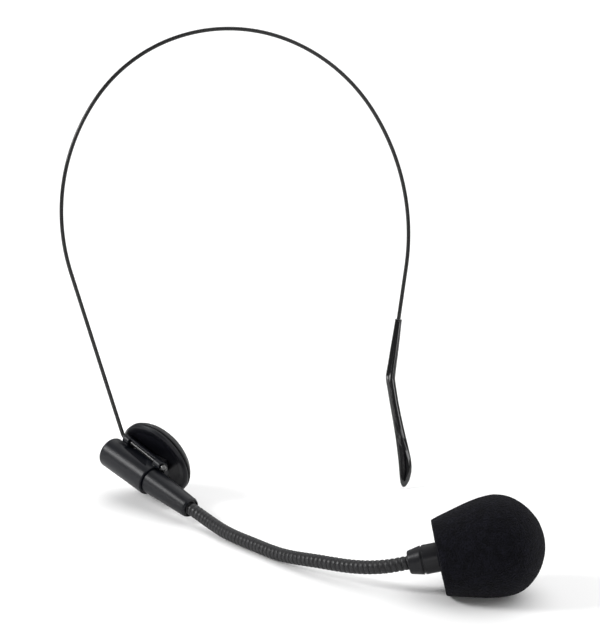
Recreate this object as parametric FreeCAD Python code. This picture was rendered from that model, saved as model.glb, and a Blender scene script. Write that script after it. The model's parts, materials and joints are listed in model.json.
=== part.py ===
"""Headset microphone: sprung wire headband, swivelling temple pad with the
barrel housing, swivelling boom collar, ribbed gooseneck boom and a microphone
with a pull-off foam windscreen.

Frame: millimetres, +Z up, standing on its pad rim, temple tip and windscreen.
+X runs from the pad side of the band to the temple-tip side, -Y is the side
that the boom reaches out to. Origin: centre of the base of the bounding box.
"""
import FreeCAD, Part
import math
import os

V = FreeCAD.Vector
os.makedirs("parts", exist_ok=True)

# ------------------------------------------------------------------ dimensions
SHIFT = V(-20.793, 11.282, -0.019)            # moves the layout onto the base centre

# headband wire
WIRE_R = 0.8
WIRE_CLEAR = 0.06                    # running clearance in the pivot lugs
BAND_LEAN = 15.0                     # degrees that the band leans back
LEG_ANGLE = math.degrees(1.85170)    # of the left leg, in the band's plane
LEG_LEN = 68.72
ARCS = [(81.6, 72.84), (65.6, 90.79), (71.3, 42.41), (93.3, 67.61)]  # radius, length
RIGHT_LEG = 44.1                     # straight, down to the temple tip's kink
KINK_R = 12.0
KINK_TURN = 17.0                     # degrees
WIRE_TAIL = 9.0                      # past the kink, inside the temple tip
CORNER_R = 2.5                       # bend into the pivot
PIVOT_CORNER = V(-40.720, 35.179, 24.666)
PIVOT_DIR = V(0.57927, -0.76824, -0.27249)
PIVOT_END = 26.2                     # wire end, from the corner along the pivot
LUG1 = (1.8, 5.2)
LUG2 = (21.3, 25.4)
LUG_R = 1.9
SLOT_DEPTH = 1.3                     # below the wire's axis
FLAT_FROM_AXIS = 5.15                # flat on the barrel's side, from its axis
BEAD_R = 1.35

# barrel and boom collar
BARREL_REAR = V(-46.050, 36.802, 17.800)
BOOM_DIR = V(0.61007, -0.75607, -0.23699)
BARREL_R = 6.3
BARREL_LEN = 25.94
BARREL_IN_R = 4.6
BARREL_FILLET = 2.4
COLLAR_START = 26.05
COLLAR_END = 49.88
COLLAR_R1 = 5.25
COLLAR_R2 = 3.95

# 3.5 mm socket
JACK_R = 1.8
JACK_FACE = -1.2                     # mouth, along the barrel's axis
JACK_DEPTH = 11.4

# temple pad
PAD_CENTRE = V(-28.649, 30.364, 15.476)
PAD_NORMAL = V(-0.66873, -0.65050, -0.36007)
PAD_R = 16.7

# gooseneck
NECK_R = 2.5
NECK_BORE = 1.2
LEAD_R = 0.7
BALL_CLEAR = 0.05
HINGES = [V(-11.35, -6.20, 4.32), V(-3.20, -20.03, 2.89), V(6.19, -33.09, 2.77),
          V(16.04, -45.81, 3.07), V(26.75, -57.62, 5.10), V(38.56, -68.40, 6.79),
          V(52.10, -76.58, 9.85)]

# microphone, along MIC_DIR from the rear end of its tail collar
MIC_REAR = V(57.810, -77.740, 11.260)
MIC_DIR = V(0.95697, -0.19281, 0.23500)
MIC_SLEEVE_R = 5.3
MIC_CORE_R = 5.0
FOAM_REAR = 10.8
FOAM_DIR = V(0.97505, -0.07970, 0.20545)   # the soft ball sits a little askew on its holder
FOAM_PIN = 22.0                      # where the two axes meet
FOAM_LIFT = -0.14
FOAM_PROFILE = [(10.8, 13.6), (14.6, 14.7), (18.3, 15.62), (21.6, 16.47), (24.7, 17.17),
                (28.6, 17.82), (32.1, 18.05), (35.0, 17.85), (38.0, 16.95), (41.0, 15.2),
                (44.0, 12.4), (46.4, 8.9), (48.1, 4.9), (48.8, 0.0)]


# --------------------------------------------------------------------- helpers
def unit(v):
    return V(v).multiply(1.0 / v.Length)


class Frame:
    """Local frame: z along a direction, x as near as possible to a hint."""

    def __init__(self, origin, z, hint):
        self.o = V(origin)
        self.z = unit(z)
        x = V(hint) - self.z * V(hint).dot(self.z)
        self.x = unit(x)
        self.y = self.z.cross(self.x)
        m = FreeCAD.Matrix(self.x.x, self.y.x, self.z.x, self.o.x,
                           self.x.y, self.y.y, self.z.y, self.o.y,
                           self.x.z, self.y.z, self.z.z, self.o.z,
                           0, 0, 0, 1)
        self.pl = FreeCAD.Placement(m)

    def at(self, x, y, z):
        return self.o + self.x * x + self.y * y + self.z * z

    def put(self, shape):
        s = shape.copy()
        s.Placement = self.pl.multiply(s.Placement)
        return s


def cyl(r, z0, z1, x=0.0, y=0.0):
    return Part.makeCylinder(r, z1 - z0, V(x, y, z0), V(0, 0, 1))


def tube(ro, ri, z0, z1):
    return cyl(ro, z0, z1).cut(cyl(ri, z0 - 1, z1 + 1))


def rev(points):
    """Solid of revolution about z from (r, z) corners."""
    p = [V(r, 0, z) for r, z in points]
    return Part.Face(Part.makePolygon(p + [p[0]])).revolve(V(0, 0, 0), V(0, 0, 1), 360)


def slab(x0, x1, y0, y1, z0, z1):
    return Part.makeBox(x1 - x0, y1 - y0, z1 - z0, V(x0, y0, z0))


def prism(points, z0, z1):
    w = Part.makePolygon([V(x, y, z0) for x, y in points + points[:1]])
    return Part.Face(w).extrude(V(0, 0, z1 - z0))


def sweep(edges, r, start, direction):
    path = Part.Wire(edges)
    ring = Part.Wire([Part.makeCircle(r, start, direction)])
    return path.makePipeShell([ring], True, False)


def single(shape):
    """The one solid of a boolean result, cleaned of split faces."""
    s = shape.removeSplitter()
    if len(s.Solids) == 1:
        return s.Solids[0]
    return s


NODES = {}


def keep(name, shape):
    s = shape.copy()
    s.translate(SHIFT)
    NODES[name] = s


# --------------------------------------------------------------- headband wire
lean = math.radians(BAND_LEAN)
UX = V(1, 0, 0)
UY = V(0, math.sin(lean), math.cos(lean))


def in_plane(p):
    return PIVOT_CORNER + UX * p[0] + UY * p[1]


def heading(a):
    return UX * math.cos(a) + UY * math.sin(a)


edges = []
piv = unit(PIVOT_DIR)
leg_dir = heading(math.radians(LEG_ANGLE))
turn = leg_dir.getAngle(piv * -1)
tan_len = CORNER_R * math.tan(turn / 2)
wire_start = PIVOT_CORNER + piv * PIVOT_END
c0 = PIVOT_CORNER + piv * tan_len
c1 = PIVOT_CORNER + leg_dir * tan_len
bis = unit(unit(piv) + unit(leg_dir))
centre = PIVOT_CORNER + bis * (CORNER_R / math.cos(turn / 2))
c_mid = centre - bis * CORNER_R
edges.append(Part.LineSegment(wire_start, c0).toShape())
edges.append(Part.Arc(c0, c_mid, c1).toShape())

ang = math.radians(LEG_ANGLE)
pos = [LEG_LEN * math.cos(ang), LEG_LEN * math.sin(ang)]
edges.append(Part.LineSegment(c1, in_plane(pos)).toShape())
wire_length = (PIVOT_END - tan_len) + CORNER_R * turn + LEG_LEN - tan_len


def add_arc(radius, length, side):
    """Arc in the band's plane; side -1 turns clockwise, +1 the other way."""
    global ang, pos, wire_length
    k = side / radius

    def point(s):
        return [pos[0] + (math.sin(ang + k * s) - math.sin(ang)) / k,
                pos[1] - (math.cos(ang + k * s) - math.cos(ang)) / k]
    a, b, c = in_plane(pos), in_plane(point(length / 2)), in_plane(point(length))
    edges.append(Part.Arc(a, b, c).toShape())
    pos, ang = point(length), ang + k * length
    wire_length += length


def add_line(length):
    global pos, wire_length
    new = [pos[0] + length * math.cos(ang), pos[1] + length * math.sin(ang)]
    edges.append(Part.LineSegment(in_plane(pos), in_plane(new)).toShape())
    pos = new
    wire_length += length


for radius, length in ARCS:
    add_arc(radius, length, -1)
mouth_from = in_plane(pos)
add_line(RIGHT_LEG)
tail_first = len(edges) - 1
tail_dir = heading(ang)
kink_start = list(pos)
add_arc(KINK_R, KINK_R * math.radians(KINK_TURN), 1)
add_line(WIRE_TAIL)
wire = sweep(edges, WIRE_R, wire_start, piv * -1)
print("wire length", round(wire_length, 2), "volume ratio",
      round(wire.Volume / (math.pi * WIRE_R ** 2 * wire_length), 4))
keep("headband_wire", wire)

# temple tip: round sleeve, kink, then a flattened paddle
tip_end = ang
t_dir = heading(tip_end)


def plane_xy(p):
    q = p - PIVOT_CORNER
    return q.dot(UX), q.dot(UY)


kx, ky = kink_start
SLEEVE = [(-22.6, 1.36, 1.36, 0.05), (-12.0, 1.72, 1.66, 0.1), (-1.5, 1.90, 1.78, 0.1)]   # before the kink
PADDLE = [(8.0, 1.86, 1.66, 0.16), (17.5, 1.90, 1.55, 0.4), (27.5, 2.27, 1.48, 0.83),
          (37.6, 2.77, 1.42, 0.95), (44.7, 2.20, 1.20, -0.1), (47.0, 1.20, 0.70, -0.7)]                         # after the kink
back = V(UX).cross(UY)


def section(p, direction, a, b, shift=0.0):
    """Ellipse across a direction: a in the band's plane, b across it, shifted to the right."""
    side = unit(back.cross(direction))
    p = p + side * (shift if side.x > 0 else -shift)
    e = Part.Ellipse(p + side * max(a, b + 1e-3), p + back * b, p)
    return Part.Wire([e.toShape()])


d1 = heading(ang - math.radians(KINK_TURN))
kp = in_plane(kink_start)
after = in_plane(pos) - t_dir * WIRE_TAIL          # end of the kink's arc
round_part = [section(kp + d1 * s, d1, a, b, f) for s, a, b, f in SLEEVE]
d_mid = unit(d1 + t_dir)
mid = (kp + after) * 0.5
flat_part = [section(after + t_dir * (s - 3.6), t_dir, a, b, f) for s, a, b, f in PADDLE]
kink_part = [section(mid, d_mid, 1.92, 1.78, 0.1)]
tip = Part.makeLoft(round_part + kink_part + flat_part, True, False)
tail_edges = [Part.LineSegment(kp - d1 * 30, kp).toShape()] + edges[tail_first + 1:]
hole = sweep(tail_edges, WIRE_R + 0.03, kp - d1 * 30, d1)
tip = single(tip.cut(hole))
keep("temple_tip", tip)

# bead that closes the wire's end in front of the second lug
WF = Frame(PIVOT_CORNER, PIVOT_DIR, PAD_NORMAL)
bead = Part.makeSphere(BEAD_R, V(0, 0, 26.35)).common(slab(-3, 3, -3, 3, LUG2[1] + 0.15, 30))
bead = bead.cut(cyl(WIRE_R + 0.02, 20, PIVOT_END + 0.02))
keep("wire_end_bead", WF.put(bead))

# --------------------------------------------------------------- temple pad
PF = Frame(PAD_CENTRE, PAD_NORMAL, BOOM_DIR)
plate = rev([(0, -0.6), (12.9, -0.6), (15.0, 0), (15.9, 0), (16.7, -0.6), (16.7, -1.25),
             (15.7, -1.5), (15.7, -2.0), (0, -2.0)])
SCREW_X = (-7.0, 5.0)
SCREW_Y = 1.6
for sx in SCREW_X:
    plate = plate.cut(cyl(1.1, -3, 1, sx, SCREW_Y)).cut(cyl(2.0, -3, -1.2, sx, SCREW_Y))
cushion = rev([(0, -2.05), (15.9, -2.05), (16.4, -2.2), (16.5, -2.6), (15.6, -3.9), (14.4, -5.1),
               (13.2, -5.9), (12.2, -6.3), (0, -6.3)])
face = cyl(11.8, -6.95, -6.33)
keep("pad_back_plate", PF.put(plate))
keep("pad_cushion", PF.put(cushion))
keep("pad_face_disc", PF.put(face))
screws = []
for sx in SCREW_X:
    sc = cyl(1.85, -2.0, -1.25, sx, SCREW_Y).fuse(cyl(0.85, -1.25, 3.2, sx, SCREW_Y))
    sc = sc.cut(slab(sx - 1.2, sx + 1.2, SCREW_Y - 0.2, SCREW_Y + 0.2, -2.1, -1.65))
    screws.append(PF.put(sc))
keep("pad_screws", Part.makeCompound(screws))

# --------------------------------------------------------------- barrel housing
HF = Frame(BARREL_REAR, BOOM_DIR, PAD_NORMAL * -1)
body = cyl(BARREL_R, 0, BARREL_LEN)
rear = [e for e in body.Edges if abs(e.BoundBox.ZMax) < 1e-6 and e.BoundBox.ZMin < 1e-6
        and e.BoundBox.XLength > 1]
body = body.makeFillet(BARREL_FILLET, rear)
fronts = [e for e in body.Edges if abs(e.BoundBox.ZMin - BARREL_LEN) < 1e-6
          and e.BoundBox.XLength > 1]
body = body.makeFillet(0.35, fronts)
shell = HF.put(body)
hub = PF.put(slab(-10.5, 7.5, -2.6, 3.6, -0.57, 8.0))
hub = hub.common(HF.put(cyl(30, -5, BARREL_LEN - 0.6)))
hub = hub.cut(HF.put(slab(-30, -1.0, -30, 30, -20, 60)))
# channel that carries the wire, moulded along the barrel's side; its underside slopes back
rib = WF.put(prism([(0.0, -1.6), (-0.9, -1.55), (-2.8, 0.5), (-2.8, 6.2), (-1.2, 6.2), (0.0, 2.6)],
                   LUG1[0], LUG2[1]))
lugs = WF.put(cyl(LUG_R, *LUG1)).fuse(WF.put(cyl(LUG_R, *LUG2)))
above = PF.put(cyl(40, -0.57, 40))
rib = rib.fuse(lugs).common(above)
rib = rib.cut(PF.put(tube(25, 12.75, -3, 0.04)))
rib = rib.common(PF.put(cyl(16.2, -3, 40)).fuse(lugs))
webs = WF.put(slab(-1.0, 1.9, 0.0, 3.0, *LUG1)).fuse(WF.put(slab(-1.0, 1.9, 0.0, 1.6, LUG2[0], 22.9)))
shell = shell.fuse(hub).fuse(rib).fuse(webs)
shell = shell.cut(HF.put(cyl(BARREL_IN_R, 1.6, BARREL_LEN + 5)))
# open slot between the wire and a flat on the barrel's side: it opens away from the pad
s_mid = (LUG1[1] + LUG2[0]) / 2
w_mid = PIVOT_CORNER + WF.z * s_mid
a_mid = HF.o + HF.z * (w_mid - HF.o).dot(HF.z)
SLOT = Frame(PIVOT_CORNER, PIVOT_DIR, a_mid - w_mid)       # x from the wire to the barrel's axis
gap = (a_mid - w_mid).Length
p_sign = 1 if SLOT.y.dot(WF.x) > 0 else -1
p0, p1 = sorted((-SLOT_DEPTH * p_sign, 9.0 * p_sign))
shell = shell.cut(SLOT.put(slab(0.4, gap - FLAT_FROM_AXIS, p0, p1, LUG1[1] + 0.5, LUG2[0] - 0.5)))
shell = shell.cut(WF.put(cyl(WIRE_R + WIRE_CLEAR, -3, 32)))
shell = shell.cut(WF.put(cyl(LUG_R + 0.4, LUG2[1], 34)))
shell = shell.cut(HF.put(cyl(3.05, -5, 5)))
for sx in SCREW_X:
    shell = shell.cut(PF.put(cyl(0.88, -3, 3.4, sx, SCREW_Y)))
shell = single(shell)
print("barrel solids", len(shell.Solids))
keep("barrel_shell", shell)

# socket: metal neck and nut, plastic body, two spring contacts
neck = cyl(3.0, JACK_FACE, 3.4).fuse(cyl(4.1, 1.65, 2.5)).cut(cyl(JACK_R, -5, 6))
keep("socket_neck", HF.put(neck))
nut = cyl(3.8, -1.0, -0.02).cut(cyl(3.04, -3, 3))
for k in range(12):
    a = math.radians(30 * k)
    nut = nut.cut(cyl(0.28, -2, 1, 3.85 * math.cos(a), 3.85 * math.sin(a)))
keep("socket_nut", HF.put(nut))
sock = cyl(3.6, 3.45, 12.0).cut(cyl(JACK_R, 3, JACK_FACE + JACK_DEPTH + 1.2))
sock = sock.cut(slab(1.2, 5, -0.9, 0.9, 8.6, 10.8)).cut(slab(-5, -1.2, -0.9, 0.9, 5.4, 7.6))
keep("socket_body", HF.put(single(sock)))
tip_spring = slab(2.0, 2.35, -0.7, 0.7, 8.8, 10.6).fuse(slab(2.35, 3.9, -0.7, 0.7, 10.2, 10.6))
ring_spring = slab(-2.35, -2.0, -0.7, 0.7, 5.6, 7.4).fuse(slab(-3.9, -2.35, -0.7, 0.7, 7.0, 7.4))
keep("socket_tip_contact", HF.put(tip_spring))
keep("socket_ring_contact", HF.put(ring_spring))
keep("junction_board", HF.put(cyl(4.45, 12.1, 13.1)))
keep("swivel_bush", HF.put(tube(4.55, 3.62, 18.9, 25.7)))

# --------------------------------------------------------------- boom collar
col = rev([(1.2, 17.2), (3.55, 17.2), (3.55, 17.8), (3.0, 17.8), (3.0, 18.7), (3.55, 18.7),
           (3.55, COLLAR_START), (5.0, COLLAR_START), (COLLAR_R1, COLLAR_START + 0.25),
           (COLLAR_R2 + 0.12, COLLAR_END - 0.75), (COLLAR_R2 - 0.35, COLLAR_END), (3.25, COLLAR_END),
           (3.25, 36.0), (1.2, 36.0)])
screw_z = 43.0
grub_hole = Part.makeCylinder(1.0, 6, V(2.5, 0, screw_z), V(1, 0, 0))
col = col.cut(grub_hole)
keep("boom_collar", HF.put(col))
grub = Part.makeCylinder(0.97, 0.95, V(3.27, 0, screw_z), V(1, 0, 0))
grub = grub.cut(Part.makeCylinder(0.45, 1, V(3.75, 0, screw_z), V(1, 0, 0)))
keep("collar_grub_screw", HF.put(grub))
clip = tube(4.3, 3.04, 17.88, 18.62).cut(slab(-1.0, 1.0, 0, 6, 17, 19.5))
keep("swivel_clip", HF.put(clip))
keep("gooseneck_rear_ferrule", HF.put(tube(3.2, NECK_R + 0.03, 36.6, 49.2)))

# --------------------------------------------------------------- gooseneck links
boom = unit(BOOM_DIR)
mic = unit(MIC_DIR)
pts = [BARREL_REAR + boom * 38.2] + HINGES + [MIC_REAR + mic * 4.0]
CUP_R = NECK_R + BALL_CLEAR          # socket that the ball of the link before turns in
FLARE = 0.78                         # slope of the ball's mouth, so that the lead can bend
NECK_BACK = 1.0                      # the tube stops this far short of the ball's centre


def link_solid(length, start_hinge, end_hinge):
    """Tube about z with a cup at z = 0 and a ball at z = length."""
    def p(r, z):
        return V(r, 0, z)
    e = []
    if start_hinge:
        rim = p(NECK_R, math.sqrt(CUP_R ** 2 - NECK_R ** 2))
        deep = p(NECK_BORE, math.sqrt(CUP_R ** 2 - NECK_BORE ** 2))
        m = math.radians(35)
        e.append(Part.Arc(rim, p(CUP_R * math.cos(m), CUP_R * math.sin(m)), deep).toShape())
    else:
        rim, deep = p(NECK_R, 0), p(NECK_BORE, 0)
        e.append(Part.LineSegment(rim, deep).toShape())
    if end_hinge:
        z0 = length - 0.3
        # mouth of the ball: cone r = bore + FLARE (z - z0) meets the ball
        A, B = 1 + FLARE ** 2, 2 * FLARE * (NECK_BORE + FLARE * 0.3)
        C = (NECK_BORE + FLARE * 0.3) ** 2 - NECK_R ** 2
        z = (-B + math.sqrt(B * B - 4 * A * C)) / (2 * A)
        lip = p(NECK_BORE + FLARE * (z + 0.3), length + z)
        neck = p(math.sqrt(NECK_R ** 2 - NECK_BACK ** 2), length - NECK_BACK)
        step = p(NECK_R, length - NECK_BACK)
        e.append(Part.LineSegment(deep, p(NECK_BORE, z0)).toShape())
        e.append(Part.LineSegment(p(NECK_BORE, z0), lip).toShape())
        e.append(Part.Arc(lip, p(NECK_R, length), neck).toShape())
        e.append(Part.LineSegment(neck, step).toShape())
        e.append(Part.LineSegment(step, rim).toShape())
    else:
        e.append(Part.LineSegment(deep, p(NECK_BORE, length)).toShape())
        e.append(Part.LineSegment(p(NECK_BORE, length), p(NECK_R, length)).toShape())
        e.append(Part.LineSegment(p(NECK_R, length), rim).toShape())
    return Part.Face(Part.Wire(e)).revolve(V(0, 0, 0), V(0, 0, 1), 360)


for i in range(len(pts) - 1):
    P, Q = pts[i], pts[i + 1]
    u = unit(Q - P)
    start_hinge, end_hinge = i > 0, i < len(pts) - 2
    LF = Frame(P, u, V(0.1, 0.2, 1))
    keep("gooseneck_link_%d" % (i + 1), LF.put(link_solid((Q - P).Length, start_hinge, end_hinge)))
    a = P + u * 0.3 if start_hinge else BARREL_REAR + boom * 13.9
    b = Q - u * 0.3 if end_hinge else MIC_REAR + mic * 18.6
    keep("boom_lead_%d" % (i + 1), Part.makeCylinder(LEAD_R, (b - a).Length, a, unit(b - a)))

# --------------------------------------------------------------- microphone
MF = Frame(MIC_REAR, MIC_DIR, V(0, 0, 1))
tail = rev([(NECK_R + 0.06, 0), (3.95, 0), (4.2, 0.25), (5.2, 4.5), (5.2, 4.8), (4.85, 4.9), (4.85, 5.3),
            (4.2, 5.3), (4.2, 8.4), (3.45, 8.4), (3.45, 0.9), (NECK_R + 0.06, 0.9)])
keep("mic_tail_collar", MF.put(tail))
keep("gooseneck_front_ferrule", MF.put(tube(3.4, NECK_R + 0.03, 0.95, 6.4)))
sleeve = rev([(4.25, 5.4), (5.1, 5.4), (MIC_SLEEVE_R, 5.6), (MIC_SLEEVE_R, 12.85), (5.15, 13.05), (MIC_CORE_R, 13.05),
              (MIC_CORE_R, 24.0), (4.3, 24.0), (4.3, 8.45), (4.25, 8.45)])
keep("mic_sleeve", MF.put(sleeve))
boot = rev([(0.95, 17.0), (4.25, 17.0), (4.25, 23.2), (3.05, 23.2), (3.05, 18.6), (0.95, 18.6)])
keep("capsule_boot", MF.put(boot))
keep("capsule_board", MF.put(cyl(2.7, 18.7, 19.3)))
can = rev([(0, 19.35), (3.0, 19.35), (3.0, 22.2), (1.0, 22.2), (1.0, 21.8), (2.7, 21.8), (2.7, 19.7), (0, 19.7)])
keep("capsule_can", MF.put(can))
keep("capsule_diaphragm", MF.put(cyl(2.65, 20.9, 21.1)))
keep("capsule_felt", MF.put(cyl(2.9, 22.25, 22.75)))
grille = rev([(0, 25.0), (4.4, 25.0), (MIC_CORE_R, 24.45), (MIC_CORE_R, 24.05), (4.25, 24.05), (4.25, 23.35),
              (3.6, 23.35), (3.6, 24.2), (0, 24.2)])
for ring, count in ((0.0, 1), (1.35, 6), (2.7, 12)):
    for k in range(count):
        a = 2 * math.pi * k / count
        grille = grille.cut(cyl(0.4, 23, 26, ring * math.cos(a), ring * math.sin(a)))
keep("mic_grille", MF.put(single(grille)))

# foam windscreen: ball with a flat rear face and a blind pocket
curve = Part.BSplineCurve()
curve.interpolate([V(r, 0, z) for z, r in FOAM_PROFILE])
z_tip = FOAM_PROFILE[-1][0]
outline = [curve.toShape(),
           Part.LineSegment(V(0, 0, z_tip), V(0, 0, FOAM_REAR)).toShape(),
           Part.LineSegment(V(0, 0, FOAM_REAR), V(FOAM_PROFILE[0][1], 0, FOAM_REAR)).toShape()]
foam = Part.Face(Part.Wire(outline)).revolve(V(0, 0, 0), V(0, 0, 1), 360)
FF = Frame(MIC_REAR + MF.z * FOAM_PIN - unit(FOAM_DIR) * FOAM_PIN + V(0, 0, FOAM_LIFT), FOAM_DIR, V(0, 0, 1))
foam = FF.put(foam)
foam = foam.cut(MF.put(cyl(MIC_SLEEVE_R + 0.08, 5, 13.15))).cut(MF.put(cyl(MIC_CORE_R + 0.08, 5, 25.2)))
keep("foam_windscreen", single(foam))

# --------------------------------------------------------------- export
box = FreeCAD.BoundBox()
for name, shape in NODES.items():
    if not shape.isValid():
        print("INVALID", name)
    if not shape.Solids:
        print("NO SOLID", name)
    box.add(shape.optimalBoundingBox(True, False))
    shape.exportStep("parts/%s.step" % name)
print("nodes", len(NODES))
print("box", [round(v, 3) for v in (box.XMin, box.XMax, box.YMin, box.YMax, box.ZMin, box.ZMax)])
print("shift by", [round(v, 3) for v in (-(box.XMin + box.XMax) / 2, -(box.YMin + box.YMax) / 2, -box.ZMin)])
for name in ("pad_back_plate", "temple_tip", "foam_windscreen", "gooseneck_link_3"):
    print("lowest", name, round(NODES[name].optimalBoundingBox(True, False).ZMin, 3))
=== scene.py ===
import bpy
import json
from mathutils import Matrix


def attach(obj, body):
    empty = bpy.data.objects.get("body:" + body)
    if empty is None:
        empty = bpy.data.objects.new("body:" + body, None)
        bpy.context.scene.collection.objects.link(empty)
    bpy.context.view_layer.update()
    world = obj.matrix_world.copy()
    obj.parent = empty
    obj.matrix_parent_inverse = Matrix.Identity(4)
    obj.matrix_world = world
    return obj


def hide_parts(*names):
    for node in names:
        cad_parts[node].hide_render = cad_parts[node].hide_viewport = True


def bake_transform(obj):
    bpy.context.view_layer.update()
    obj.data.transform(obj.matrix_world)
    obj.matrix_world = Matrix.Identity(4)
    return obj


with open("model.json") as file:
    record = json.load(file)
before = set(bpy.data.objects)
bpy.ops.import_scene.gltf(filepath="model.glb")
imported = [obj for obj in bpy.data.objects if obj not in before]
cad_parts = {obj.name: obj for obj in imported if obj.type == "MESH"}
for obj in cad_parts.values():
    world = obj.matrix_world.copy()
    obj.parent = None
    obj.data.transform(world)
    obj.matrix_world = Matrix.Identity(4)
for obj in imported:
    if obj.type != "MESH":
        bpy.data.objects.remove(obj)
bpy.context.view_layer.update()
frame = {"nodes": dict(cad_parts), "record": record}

import json
import math
import bpy
import bmesh
import numpy as np
from mathutils import Vector, noise

MM = 0.001
SHIFT = np.array([-20.793, 11.282, -0.019])
A = lambda *v: np.array(v, float)


def unit(v):
    v = np.asarray(v, float)
    return v / np.linalg.norm(v)


# ------------------------------------------------------------------ layout, mm
PIVOT_CORNER = A(-40.720, 35.179, 24.666) + SHIFT
PIVOT_DIR = unit((0.57927, -0.76824, -0.27249))
BARREL_REAR = A(-46.050, 36.802, 17.800) + SHIFT
BOOM_DIR = unit((0.61007, -0.75607, -0.23699))
PAD_CENTRE = A(-28.649, 30.364, 15.476) + SHIFT
PAD_NORMAL = unit((-0.66873, -0.65050, -0.36007))
HINGES = [A(*p) + SHIFT for p in (
    (-11.35, -6.20, 4.32), (-3.20, -20.03, 2.89), (6.19, -33.09, 2.77), (16.04, -45.81, 3.07),
    (26.75, -57.62, 5.10), (38.56, -68.40, 6.79), (52.10, -76.58, 9.85))]
MIC_REAR = A(57.810, -77.740, 11.260) + SHIFT
MIC_DIR = unit((0.95697, -0.19281, 0.23500))
LEAN = math.radians(15.0)
LEG_ANGLE = 1.85170
LEG_LEN = 68.72
ARCS = [(81.6, 72.84), (65.6, 90.79), (71.3, 42.41), (93.3, 67.61)]
RIGHT_LEG, KINK_R, KINK_TURN, WIRE_TAIL = 44.1, 12.0, math.radians(17.0), 9.0
CORNER_R, PIVOT_END, WIRE_R = 2.5, 26.2, 0.8
LUG1, LUG2, LUG_R, BEAD_R = (1.8, 5.2), (21.3, 25.4), 1.9, 1.35
BARREL_R, BARREL_LEN, COLLAR_START, COLLAR_END = 6.3, 25.94, 26.05, 49.88
FLAT_FROM_AXIS, SLOT_DEPTH = 5.15, 1.3


class Frame:
    def __init__(self, o, z, hint):
        self.o, self.z = np.asarray(o, float), unit(z)
        hint = np.asarray(hint, float)
        self.x = unit(hint - self.z * hint.dot(self.z))
        self.y = np.cross(self.z, self.x)

    def at(self, x, y, z):
        return self.o + self.x * x + self.y * y + self.z * z

    def many(self, p):
        p = np.asarray(p, float)
        return self.o + p[:, :1] * self.x + p[:, 1:2] * self.y + p[:, 2:3] * self.z

    def local(self, w):
        d = np.asarray(w, float) - self.o
        return np.stack([d @ self.x, d @ self.y, d @ self.z], -1)


HF = Frame(BARREL_REAR, BOOM_DIR, -PAD_NORMAL)
PF = Frame(PAD_CENTRE, PAD_NORMAL, BOOM_DIR)
WF = Frame(PIVOT_CORNER, PIVOT_DIR, PAD_NORMAL)
MF = Frame(MIC_REAR, MIC_DIR, A(0, 0, 1))
FOAM_DIR = unit((0.97505, -0.07970, 0.20545))
FF = Frame(MIC_REAR + MIC_DIR * 22.0 - FOAM_DIR * 22.0 + A(0, 0, -0.14), FOAM_DIR, A(0, 0, 1))
UX, UY, UZ = A(1, 0, 0), A(0, math.sin(LEAN), math.cos(LEAN)), A(0, -math.cos(LEAN), math.sin(LEAN))


# ------------------------------------------------------------------ mesh tools
def make(name, verts, faces, smooth=True, sharp=None):
    me = bpy.data.meshes.new(name)
    me.from_pydata([tuple(float(c) * MM for c in v) for v in verts], [], [tuple(int(i) for i in f) for f in faces])
    me.validate()
    o = bpy.data.objects.new(name, me)
    bpy.context.scene.collection.objects.link(o)
    bm = bmesh.new()
    bm.from_mesh(me)
    bmesh.ops.recalc_face_normals(bm, faces=bm.faces)
    bm.to_mesh(me)
    bm.free()
    if smooth:
        me.polygons.foreach_set("use_smooth", [True] * len(me.polygons))
        if sharp:
            me.set_sharp_from_angle(angle=math.radians(sharp))
    me.update()
    return o


def rounded(points, default=0.15, steps=4, closed=False):
    """Profile corners rounded: points are (r, z) or (r, z, radius)."""
    out, n = [], len(points)
    for i, p in enumerate(points):
        rad = p[2] if len(p) > 2 else default
        if (not closed and i in (0, n - 1)) or rad <= 0:
            out.append((p[0], p[1]))
            continue
        a, b, c = A(*points[i - 1][:2]), A(*p[:2]), A(*points[(i + 1) % n][:2])
        u, v = unit(a - b), unit(c - b)
        ang = math.acos(max(-1, min(1, u @ v)))
        if ang > math.radians(176):
            out.append(tuple(b))
            continue
        t = min(rad / math.tan(ang / 2), 0.48 * np.linalg.norm(a - b), 0.48 * np.linalg.norm(c - b))
        s, e = b + u * t, b + v * t
        for k in range(steps + 1):
            w = k / steps
            out.append(tuple((1 - w) ** 2 * s + 2 * w * (1 - w) * b + w * w * e))
    return out


def dense(profile, step):
    """More points along straight stretches of a profile."""
    out = [profile[0]]
    for a, b in zip(profile[:-1], profile[1:]):
        n = max(1, int(math.ceil(math.hypot(b[0] - a[0], b[1] - a[1]) / step)))
        for k in range(1, n + 1):
            out.append((a[0] + (b[0] - a[0]) * k / n, a[1] + (b[1] - a[1]) * k / n))
    return out


def revolve(name, profile, fr, seg=96, closed=False, sharp=None, warp=None):
    """Turned piece. The profile runs from axis to axis, or is a closed loop."""
    pts, rings, faces = [], [], []
    for r, z in profile:
        if r < 1e-6:
            pts.append((0, 0, z))
            rings.append([len(pts) - 1])
        else:
            base = len(pts)
            for k in range(seg):
                a = 2 * math.pi * k / seg
                pts.append((r * math.cos(a), r * math.sin(a), z))
            rings.append(list(range(base, base + seg)))
    pairs = list(zip(rings[:-1], rings[1:])) + ([(rings[-1], rings[0])] if closed else [])
    for p, q in pairs:
        for k in range(seg):
            j = (k + 1) % seg
            if len(p) == 1 and len(q) == 1:
                continue
            if len(p) == 1:
                faces.append((p[0], q[k], q[j]))
            elif len(q) == 1:
                faces.append((p[k], q[0], p[j]))
            else:
                faces.append((p[k], q[k], q[j], p[j]))
    pts = np.array(pts, float)
    if warp is not None:
        pts = warp(pts)
    return make(name, fr.many(pts), faces, sharp=sharp)


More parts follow.
